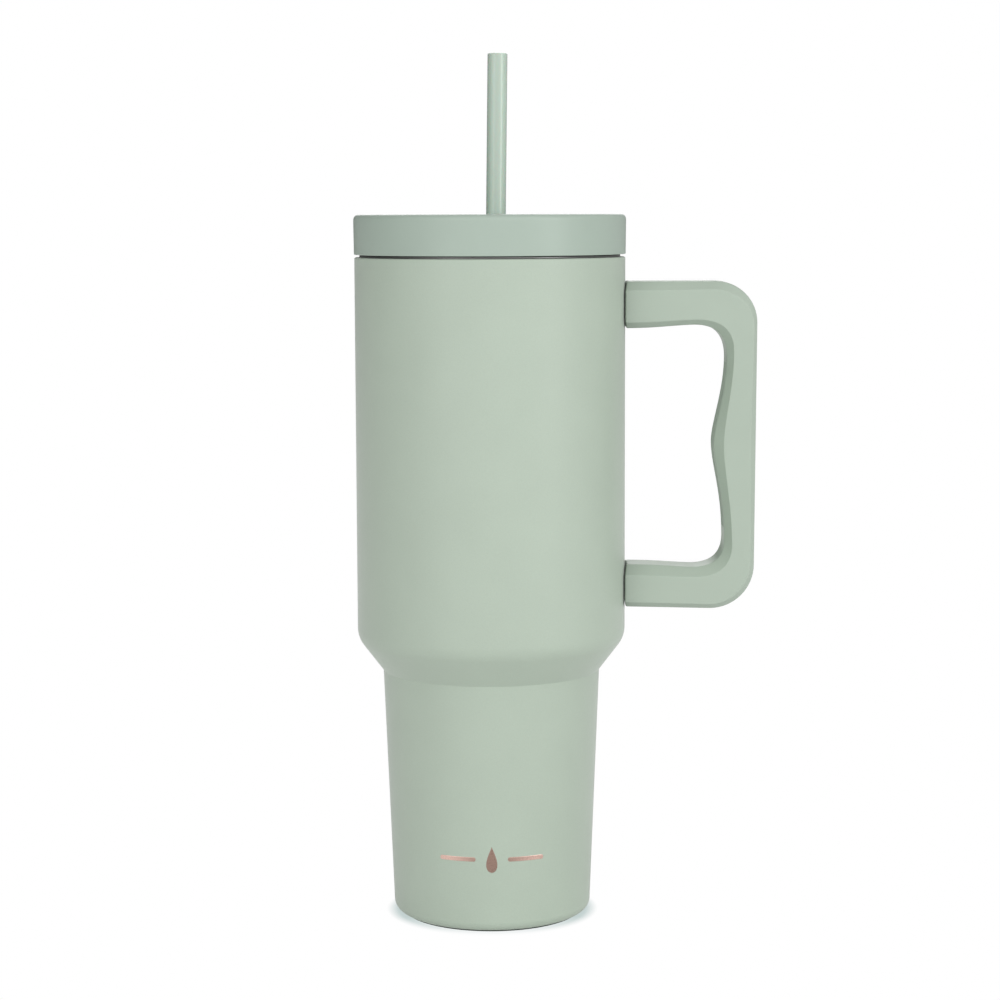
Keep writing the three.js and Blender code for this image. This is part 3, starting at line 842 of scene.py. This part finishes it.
def grip_face(steps):
    """Inner face of the grip, from its top end down over the finger swell."""
    top = (GRIP_INNER_TOP, GRIP_TOP)
    low = (GRIP_INNER_LOW, GRIP_LOW)
    bulge = (GRIP_BULGE, BULGE_HEIGHT)
    upper = bezier(top, (GRIP_INNER_TOP, ABOVE_BULGE[0]), (GRIP_BULGE, ABOVE_BULGE[1]), bulge, steps)
    lower = bezier(bulge, (GRIP_BULGE, BELOW_BULGE[0]), (GRIP_INNER_LOW, BELOW_BULGE[1]), low, steps)
    return upper + lower[1:]


def quadratic(start, control, end, steps):
    """Points along a curve with one control point."""
    first = tuple(s + (c - s) * 2 / 3 for s, c in zip(start, control))
    second = tuple(e + (c - e) * 2 / 3 for e, c in zip(end, control))
    return bezier(start, first, second, end, steps)


def handle_sides():
    """Matching points along the outer and the inner side of the handle, from the upper
    arm's end round the grip to the lower arm's end."""
    low_reach = HANDLE_REACH - DRAFT
    top_centre = (HANDLE_REACH - CORNER_TOP, UPPER_ARM_TOP - CORNER_TOP)
    low_centre = (low_reach - CORNER_LOW, LOWER_ARM_LOW + CORNER_LOW)
    low_end = (ARM_START, LOWER_ARM_LOW + LOWER_ARM_RISE)
    outer = line((ARM_START, UPPER_ARM_TOP), (top_centre[0], UPPER_ARM_TOP), ARM_STEPS)[:-1]
    outer += arc(top_centre, CORNER_TOP, 90, 0, BEND_STEPS)[:-1]
    outer += line((HANDLE_REACH, top_centre[1]), (low_reach, low_centre[1]), GRIP_STEPS)
    outer += arc(low_centre, CORNER_LOW, 0, -90, BEND_STEPS)[1:]
    outer += line((low_centre[0], LOWER_ARM_LOW), low_end, ARM_STEPS)[1:]

    def opening(arm, flare, bend):
        """An arm's inner side, from its end at the body out to its bend."""
        controls = (FLARE[0], arm), (FLARE[1], flare)
        return bezier((ARM_START, arm), *controls, bend, ARM_STEPS)

    upper_bend = (UPPER_BEND_X, UPPER_ARM_LOW + UPPER_FLARE)
    lower_bend = (LOWER_BEND_X, LOWER_ARM_TOP - LOWER_FLARE)
    top = (GRIP_INNER_TOP, GRIP_TOP)
    low = (GRIP_INNER_LOW, GRIP_LOW)
    inner = opening(UPPER_ARM_LOW, upper_bend[1] - 0.2, upper_bend)[:-1]
    inner += quadratic(upper_bend, (top[0], upper_bend[1]), top, BEND_STEPS)[:-1]
    inner += grip_face(GRIP_STEPS // 2)
    inner += quadratic(low, (low[0], lower_bend[1]), lower_bend, BEND_STEPS)[1:]
    inner += opening(LOWER_ARM_TOP, lower_bend[1] + 0.2, lower_bend)[-2::-1]
    return outer, inner


def band_width(widths, ring):
    """Width of an edge band at a ring, blended round the handle's two bends."""
    width = widths[0]
    for number, first in enumerate((ARM_STEPS, ARM_STEPS + BEND_STEPS + GRIP_STEPS)):
        width += (widths[number + 1] - widths[number]) * ease((ring - first) / BEND_STEPS)
    return width


def handle_section(thickness, half_depth, ring):
    """Section of the handle as (distance from the outer side, y) points. Each of its
    corners is cut by a band at 45 degrees."""
    outer = band_width(OUTER_BANDS, ring)
    inner = band_width(INNER_BANDS, ring)
    front = [
        (0, outer - half_depth, SIDE_ROUND), (outer, -half_depth, BAND_ROUND),
        (thickness - inner, -half_depth, BAND_ROUND), (thickness, inner - half_depth, SIDE_ROUND),
    ]
    corners = front + [(depth, -y, radius) for depth, y, radius in reversed(front)]
    points = rounded(corners)
    per_corner = len(points) // len(corners)
    result = []
    for index, (point, after) in enumerate(zip(points, points[1:] + points[:1])):
        corner, step = divmod(index, per_corner)
        is_flat = step == per_corner - 1 and corner % 2
        result += line(point, after, 4 if is_flat else 1)[:-1]
    return result


def follow_body(x, y, share):
    """Moves an arm-end point so that the end follows the round body."""
    return x - share * (ARM_START - math.sqrt(ARM_START ** 2 - y ** 2))


def handle_skin():
    """Sections along the handle, which shrink to close the arms' ends."""
    outer, inner = handle_sides()
    last = len(outer) - 1
    section_size = len(handle_section(16, HALF_DEPTH, 0))
    end_shares = (0.02, 0.35, 0.7)
    end_round = quarter_round(ARM_END_ROUND)
    points = []
    rings = []

    def add_ring(ring, inset=0.0, shift=0.0, shrink=1.0):
        out_point = Vector(outer[ring])
        in_point = Vector(inner[ring])
        across = (in_point - out_point).normalized()
        thickness = (in_point - out_point).length - 2 * inset
        middle = thickness / 2
        rings.append(range(len(points), len(points) + section_size))
        for depth, y in handle_section(thickness, HALF_DEPTH - inset, ring):
            depth = inset + middle + (depth - middle) * shrink
            y *= shrink
            place = out_point + across * depth
            near = ease(1 - (place.x - ARM_START) / FOLLOW_REACH)
            points.append((follow_body(place.x + shift, y, near), y, place.y))

    for share in end_shares:
        add_ring(0, ARM_END_ROUND, shrink=share)
    for inset, shift in end_round:
        add_ring(0, inset, shift)
    for ring in range(1, last):
        add_ring(ring)
    for inset, shift in reversed(end_round):
        add_ring(last, inset, shift)
    for share in reversed(end_shares):
        add_ring(last, ARM_END_ROUND, shrink=share)
    return make_object("handle_shell", points, skin(rings) + [tuple(rings[0]), tuple(rings[-1])])


def arm_cutters(arm_low):
    """Room in an arm for its bracket, its screw and the screw's head and cap."""
    floor = arm_low + 4.7
    roof = floor + 8.5
    half_width = 7
    screw_hole = 1.95
    head_hole = 3.5
    return [
        box_cutter((40, -half_width, floor), (65, half_width, roof)),
        cylinder(screw_hole, arm_low - 1, floor + 1, (SCREW_X, 0)),
        cylinder(head_hole, arm_low - 2, arm_low + 2.6, (SCREW_X, 0)),
    ]


def handle_body():
    """The grip's core is open to the inside, where the soft strip closes it."""
    core = box_cutter((70, -CORE_HALF_WIDTH, CORE_LOW), (CORE_OUTER, CORE_HALF_WIDTH, CORE_TOP))
    return cut(handle_skin(), core, *arm_cutters(UPPER_ARM_LOW), *arm_cutters(LOWER_ARM_SEAT))


def grip_insert():
    """Soft strip that fills the mouth of the grip's core, flush with the inner face."""
    thickness = 4
    gap = 0.03
    end_insets = (0.03, 0.01, 0)
    half_width = CORE_HALF_WIDTH - gap
    low_end = CORE_LOW + gap
    high_end = CORE_TOP - gap
    face = []
    inner_face = grip_face(30)
    for point, after in zip(inner_face, inner_face[1:]):
        for end in (high_end, low_end):
            if point[1] > end > after[1]:
                share = (point[1] - end) / (point[1] - after[1])
                face.append((point[0] + (after[0] - point[0]) * share, end))
        if low_end < after[1] < high_end:
            face.append(after)
    face.sort(key=lambda point: -point[1])
    points = []
    rings = []
    for index, (x, height) in enumerate(face):
        from_end = min(index, len(face) - 1 - index, len(end_insets) - 1)
        inset = end_insets[from_end]
        section = rounded([
            (x + inset, -half_width + inset, 0.5), (x + thickness, -half_width + inset, 0.3),
            (x + thickness, half_width - inset, 0.3), (x + inset, half_width - inset, 0.5),
        ])
        rings.append(range(len(points), len(points) + len(section)))
        points += [(across, depth, height) for across, depth in section]
    return make_object("grip_strip", points, skin(rings) + [tuple(rings[0]), tuple(rings[-1])])


def bracket(node):
    """Saddle that fits the wall, with a tongue for the screw."""
    low, high = span(node)
    outer = BODY_RADIUS + 2.5
    tongue_half = 5
    tongue_top = low.z + 5
    saddle = block("bracket", (BODY_RADIUS - 2, low.y, low.z), (outer, high.y, high.z), 0.4, 0.4)
    tongue_low = (outer - 1, -tongue_half, low.z + 0.05)
    tongue = block("tongue", tongue_low, (high.x, tongue_half, tongue_top), 1.5, 0.4)
    joined = join(saddle, tongue)
    joined.name = node + "_plate"
    body = cylinder(BODY_RADIUS + 0.3, low.z - 5, high.z + 5, sides=SIDES)
    return cut(joined, body, cylinder(1.8, low.z - 1, tongue_top + 3, (SCREW_X, 0)))


def bracket_screw(node):
    """Screw with its head down and a six-sided socket in it."""
    low, high = span(node)
    head_top = low.z + 1.2
    head = (high.x - low.x) / 2
    shank = 1.5
    corners = [
        (0, low.z, 0), (head, low.z, 0.6), (head, head_top, 0.15),
        (shank, head_top, 0.2), (shank, high.z, 0.4), (0, high.z, 0),
    ]
    screw = lathed(node + "_steel", corners, SMALL_SIDES, (SCREW_X, 0))
    return cut(screw, cylinder(1.3, low.z - 1, low.z + 0.8, (SCREW_X, 0), sides=6))


def screw_cap(node):
    low, high = span(node)
    radius = (high.x - low.x) / 2
    corners = [(0, low.z, 0), (radius, low.z, 0.2), (radius, high.z, 0.15), (0, high.z, 0)]
    return lathed(node + "_plug", corners, SMALL_SIDES, (SCREW_X, 0))


dress(handle_body(), HANDLE_PLASTIC, "vessel", "handle_body")
dress(grip_insert(), GRIP_RUBBER, "vessel", "handle_grip_insert")
for arm in ("upper_", "lower_"):
    dress(bracket(arm + "bracket"), STEEL, "vessel", arm + "bracket")
    dress(bracket_screw(arm + "bracket_screw"), STEEL, "vessel", arm + "bracket_screw")
    dress(screw_cap(arm + "screw_cap"), GRIP_RUBBER, "vessel", arm + "screw_cap")

# ---- lid ----

lid_low, lid_high = span("lid_shell")
LID_RADIUS = lid_high.x
LID_TOP = lid_high.z
LID_LOW = lid_low.z
BOSS_LOW = 244
DECK_LOW = 249.8
DECK_TOP = 251.8
BAND_INNER = 47.1
RIM_INNER = 46.4
PLUG_RADIUS = 42.9
PIVOT_RADIUS = 2.4
PLUG_LOW = span("lid_plug")[0].z
PLUG_TOP = DECK_LOW - 0.3
PLUG_WALL = 2
PLUG_THREAD = (PLUG_LOW + 2, PLUG_LOW + 12)
FLANGE_LOW = 244.6
FLANGE_TOP = 246.4
cover_low, cover_high = span("rotating_cover")
COVER_TOP = cover_low.z + 2
COVER_TRAVEL = 55
SIP_RADIUS = 34
SIP_WIDTH = 9
SIP_HALF_ANGLE = 11
STRAW_X = 2.2
STRAW_Y = 22
STRAW_LEAN = math.radians(0.76)
FRONT = -90


def lid_shell():
    """Band, rim and deck, with a boss for the pivot and holes for the straw and for sipping."""
    hole = PIVOT_RADIUS + 0.3
    boss = 6
    corners = [
        (hole, BOSS_LOW, 0.2), (boss, BOSS_LOW, 0.4), (boss, DECK_LOW, 0.8), (BAND_INNER, DECK_LOW, 0.6),
        (BAND_INNER, LID_LOW, 0.3), (LID_RADIUS - 0.13, LID_LOW - 0.25, 0.2),
        (LID_RADIUS, LID_TOP - 3, 0), (LID_RADIUS, LID_TOP, 1.9), (RIM_INNER, LID_TOP, 0.8),
        (RIM_INNER, DECK_TOP, 0.5), (hole, DECK_TOP, 0.3),
    ]
    sip = arc_slot(SIP_RADIUS, SIP_WIDTH, FRONT - SIP_HALF_ANGLE, FRONT + SIP_HALF_ANGLE)
    straw_hole = cylinder(5.6, DECK_LOW - 1, DECK_TOP + 1, (STRAW_X, STRAW_Y))
    return cut(lathed("lid_body", corners), straw_hole, slab(sip, DECK_LOW - 1, DECK_TOP + 1))


def lid_plug():
    """Cup with a thread outside, a flange over the seal, and two holes in its floor."""
    inner = PLUG_RADIUS - PLUG_WALL
    flange = BAND_INNER - 0.5
    floor = PLUG_LOW + PLUG_WALL
    thread_low, thread_high = PLUG_THREAD
    foot = [(0, PLUG_LOW, 0), (PLUG_RADIUS, PLUG_LOW, 1.2), (PLUG_RADIUS, thread_low, 0)]
    foot = rounded(foot, closed=False)
    thread = threaded_run(PLUG_RADIUS, thread_low, thread_high)[1:-1]
    rest = rounded([
        (PLUG_RADIUS, thread_high, 0), (PLUG_RADIUS, FLANGE_LOW, 0.3), (flange, FLANGE_LOW, 0.3),
        (flange, FLANGE_TOP, 0.4), (PLUG_RADIUS, FLANGE_TOP, 0.3), (PLUG_RADIUS, PLUG_TOP, 0.3),
        (inner, PLUG_TOP, 0.3), (inner, floor, 1.5), (0, floor, 0),
    ], closed=False)

    def shape(angle, radius, height):
        if radius != PLUG_RADIUS or not thread_low < height < thread_high:
            return radius
        return radius + thread_height(angle, height, THREAD_START - THREAD_LEAD / 2)

    return cut(
        turned("lid_plug_body", foot + thread + rest, shape=shape),
        cylinder(5.2, PLUG_LOW - 1, floor + 1, (STRAW_X - 0.3, STRAW_Y)),
        cylinder(4, PLUG_LOW - 1, floor + 1, (0, -SIP_RADIUS)),
    )


def lid_seal():
    low, high = span("lid_seal")
    inner = PLUG_RADIUS + 0.3
    corners = [
        (inner, low.z, 0.3), (high.x, low.z, 0.6), (high.x, high.z, 0.3), (inner, high.z, 0.3),
    ]
    return lathed("lid_gasket", corners)


def straw_seal():
    """Bush that goes up through the deck, with a flange under it."""
    low, high = span("straw_seal")
    inner = 3.95
    neck = 5.3
    flange = 7
    flange_top = DECK_LOW - 0.3
    corners = [
        (inner, low.z, 0.4), (flange, low.z, 0.5), (flange, flange_top, 0.3), (neck, flange_top, 0.2),
        (neck, high.z, 0.5), (inner, high.z, 0.5),
    ]
    return lathed("straw_bush", corners, SMALL_SIDES, (STRAW_X, STRAW_Y))


def cover_pivot():
    """Pin with a round head that has a shallow dish in it."""
    low, high = span("cover_pivot")
    head = 5.5
    head_low = COVER_TOP + 0.3
    dish = high.z - 0.3
    corners = [
        (0, low.z, 0), (PIVOT_RADIUS, low.z, 0.5), (PIVOT_RADIUS, head_low, 0.1), (head, head_low, 0.2),
        (head, high.z - 0.1, 0.55), (3.6, high.z, 0.3), (3.2, dish, 0.3), (0, dish, 0),
    ]
    return lathed("pivot_pin", corners, SMALL_SIDES)


def rotating_cover():
    """Disc with an arc slot for the straw, a window for sipping and a bar for a finger."""
    straw_angle = math.degrees(math.atan2(STRAW_Y, STRAW_X))
    window = FRONT - COVER_TRAVEL
    holes = [
        arc_slot(math.hypot(STRAW_X, STRAW_Y), 9, straw_angle - COVER_TRAVEL, straw_angle),
        arc_slot(SIP_RADIUS, SIP_WIDTH, window - SIP_HALF_ANGLE, window + SIP_HALF_ANGLE),
        circle(PIVOT_RADIUS + 0.5),
    ]
    rim = circle(cover_high.x, steps=SIDES)
    disc = plate("cover_disc", [rim] + holes, cover_low.z, COVER_TOP, 0.5)
    bar_low = (-3, -41, COVER_TOP - 0.8)
    bar_high = (3, -15, cover_high.z)
    return join(disc, block("finger_bar", bar_low, bar_high, corner=2.9, edge=0.5))


def cover_seal():
    low, high = span("cover_seal")
    reach = SIP_HALF_ANGLE + 4
    outline = arc_slot(SIP_RADIUS, SIP_WIDTH + 4, FRONT - reach, FRONT + reach)
    return plate("sip_pad", [outline], low.z, high.z, 0.25)


dress(lid_shell(), LID_PLASTIC, "lid", "lid_shell")
dress(lid_plug(), LID_PLASTIC, "lid", "lid_plug")
dress(lid_seal(), SILICONE, "seal_ring", "lid_seal")
dress(straw_seal(), SILICONE, "lid", "straw_seal")
dress(cover_pivot(), LID_PLASTIC, "lid", "cover_pivot")
dress(rotating_cover(), LID_PLASTIC, "cover", "rotating_cover")
dress(cover_seal(), SILICONE, "cover", "cover_seal")

# ---- straw ----


def drinking_straw():
    """The straw is turned about its own axis and then leaned where it passes the deck."""
    low, high = span("straw")
    radius = 3.65
    bore = radius - 0.9
    bottom = (low.z - DECK_TOP) / math.cos(STRAW_LEAN)
    top = (high.z - 0.05 - DECK_TOP) / math.cos(STRAW_LEAN)
    corners = [(bore, bottom, 0.3), (radius, bottom, 0.4), (radius, top, 0.42), (bore, top, 0.4)]
    tube = lathed("straw_tube", corners, SMALL_SIDES)
    lean = Matrix.Rotation(STRAW_LEAN, 4, "Y")
    tube.data.transform(Matrix.Translation(Vector((STRAW_X, STRAW_Y, DECK_TOP)) * MM) @ lean)
    return tube


dress(drinking_straw(), STRAW_PLASTIC, "straw", "straw")

# ---- stage, light and camera ----

FLOOR_SIZE = 8
SHADE_CENTRE = (0.08, -0.06, 0)  # centre of the painted shade in the floor's glow, in metres: the floor lights the object least here
SHADE_REACH = 0.15  # and how far away the painted glow is at full strength
# The floor glows with this strength away from the object, as painted bounce light.
OPEN_FLOOR_GLOW = 0.2
CONTACT_REACH = 0.0045
CONTACT_FADE = (-0.036, -0.014)  # the contact shade grows from front to back, along Y
CONTACT_SHADOW_COLOR = (0.55, 0.64, 0.63, 1)
LAMP_TARGET = Vector((0, 0, 0.13))
LAMP_DISTANCE = 1.5
CAMERA_PLACE = Vector((3.39, -928.1, 257.45)) * MM
CAMERA_TILT = 6.44  # degrees below level
CAMERA_ROLL = -0.2
FOCAL_LENGTH = 91.8


def floor_finish():
    """Matt pale floor that the camera sees as pure white, with a painted contact shadow where something
    stands close to it. For other rays the floor glows as painted bounce light, which is weaker near the
    object."""
    white = (1, 1, 1, 1)
    finish = Finish("floor", (0.75, 0.75, 0.75), 0.9, Specular_IOR_Level=0, Emission_Color=white)
    from_shade = finish.node("VectorMath", "DISTANCE")
    from_shade.inputs[1].default_value = SHADE_CENTRE
    finish.link(finish.coordinates, from_shade.inputs[0])
    glow = finish.remap(from_shade.outputs["Value"], 0, OPEN_FLOOR_GLOW, source=(0, SHADE_REACH))
    finish.link(glow, finish.surface.inputs["Emission Strength"])
    # Painted contact shadow: what the camera sees is darkened where something stands close to the floor.
    closeness = finish.node("AmbientOcclusion", Distance=CONTACT_REACH)
    closeness.samples = 16
    shade = finish.node("MapRange", From_Min=0.35, From_Max=0.95)
    finish.link(closeness.outputs["AO"], shade.inputs["Value"])
    place = finish.node("SeparateXYZ")
    finish.link(finish.coordinates, place.inputs[0])
    lightest = finish.remap(place.outputs["Y"], 0.85, 0, source=CONTACT_FADE)
    finish.link(lightest, shade.inputs["To Min"])
    tone = finish.node("Mix")
    tone.data_type = "RGBA"
    tone.inputs[6].default_value = CONTACT_SHADOW_COLOR
    tone.inputs[7].default_value = white
    finish.link(shade.outputs[0], tone.inputs[0])
    seen = finish.node("Emission")
    finish.link(tone.outputs[2], seen.inputs["Color"])
    path = finish.node("LightPath")
    choice = finish.node("MixShader")
    finish.link(path.outputs["Is Camera Ray"], choice.inputs[0])
    finish.link(finish.surface.outputs[0], choice.inputs[1])
    finish.link(seen.outputs[0], choice.inputs[2])
    output = next(node for node in finish.tree.nodes if node.type == "OUTPUT_MATERIAL")
    finish.link(choice.outputs[0], output.inputs[0])
    return finish.done()


def white_floor():
    mesh = bpy.data.meshes.new("floor")
    half = FLOOR_SIZE / 2
    corners = [(-half, -half, 0), (half, -half, 0), (half, half, 0), (-half, half, 0)]
    mesh.from_pydata(corners, [], [(0, 1, 2, 3)])
    floor = bpy.data.objects.new("floor", mesh)
    bpy.context.scene.collection.objects.link(floor)
    mesh.materials.append(floor_finish())


def world_light(front, right, above, behind):
    """Soft surrounding light that comes from four sides, with a pure white backdrop for
    the camera. Each strength fades with the angle from its side."""
    world = bpy.data.worlds.new("studio")
    bpy.context.scene.world = world
    world.use_nodes = True
    tree = world.node_tree
    link = tree.links.new
    direction = add_node(tree, "TexCoord").outputs["Generated"]
    total = None
    sides = (((0, -1, 0), front), ((1, 0, 0), right), ((0, 0, 1), above), ((0, 1, 0), behind))
    for side, strength in sides:
        facing = add_node(tree, "VectorMath", "DOT_PRODUCT")
        facing.inputs[1].default_value = side
        link(direction, facing.inputs[0])
        lobe = add_node(tree, "Math", "MAXIMUM")
        link(facing.outputs["Value"], lobe.inputs[0])
        lobe.inputs[1].default_value = 0
        share = add_node(tree, "Math", "MULTIPLY_ADD")
        link(lobe.outputs[0], share.inputs[0])
        share.inputs[1].default_value = strength
        share.inputs[2].default_value = 0
        if total:
            link(total, share.inputs[2])
        total = share.outputs[0]
    backdrop = add_node(tree, "Mix")
    path = add_node(tree, "LightPath")
    link(path.outputs["Is Camera Ray"], backdrop.inputs[0])
    link(total, backdrop.inputs[2])
    backdrop.inputs[3].default_value = 1
    background = tree.nodes["Background"]
    background.inputs["Color"].default_value = (1, 1, 1, 1)
    link(backdrop.outputs[0], background.inputs["Strength"])


def soft_box(name, azimuth, elevation, width, height, radiance):
    """Rectangular area light aimed at the object's middle. Azimuth 0 is in front, and
    positive azimuths are on the handle's side."""
    turn = math.radians(azimuth)
    tilt = math.radians(elevation)
    back = Vector((math.sin(turn) * math.cos(tilt), -math.cos(turn) * math.cos(tilt), math.sin(tilt)))
    light = bpy.data.lights.new(name, "AREA")
    light.shape = "RECTANGLE"
    light.size = width
    light.size_y = height
    light.energy = radiance * math.pi * width * height
    lamp = bpy.data.objects.new(name, light)
    lamp.location = LAMP_TARGET + back * LAMP_DISTANCE
    lamp.rotation_euler = (-back).to_track_quat("-Z", "Y").to_euler()
    lamp.visible_camera = False
    bpy.context.scene.collection.objects.link(lamp)


def camera():
    """Level with the lid's top, looking slightly down, a little to the handle's side."""
    data = bpy.data.cameras.new("camera")
    data.sensor_width = 36
    data.lens = FOCAL_LENGTH
    data.clip_start = 0.05
    data.clip_end = 50
    view = bpy.data.objects.new("camera", data)
    tilt = Matrix.Rotation(math.radians(90 - CAMERA_TILT), 4, "X")
    roll = Matrix.Rotation(math.radians(CAMERA_ROLL), 4, "Z")
    view.matrix_world = Matrix.Translation(CAMERA_PLACE) @ tilt @ roll
    bpy.context.scene.collection.objects.link(view)
    bpy.context.scene.camera = view


white_floor()
world_light(front=1.52, right=0.4, above=0.33, behind=0.12)
soft_box("key_right", azimuth=54, elevation=15, width=0.35, height=1.3, radiance=2.3)
soft_box("fill_left", azimuth=-34, elevation=15, width=0.3, height=1.3, radiance=1.1)
soft_box("back", azimuth=180, elevation=30, width=0.6, height=1.0, radiance=2.4)
camera()
bpy.context.scene.view_settings.view_transform = "Standard"
bpy.context.scene.view_settings.look = "None"
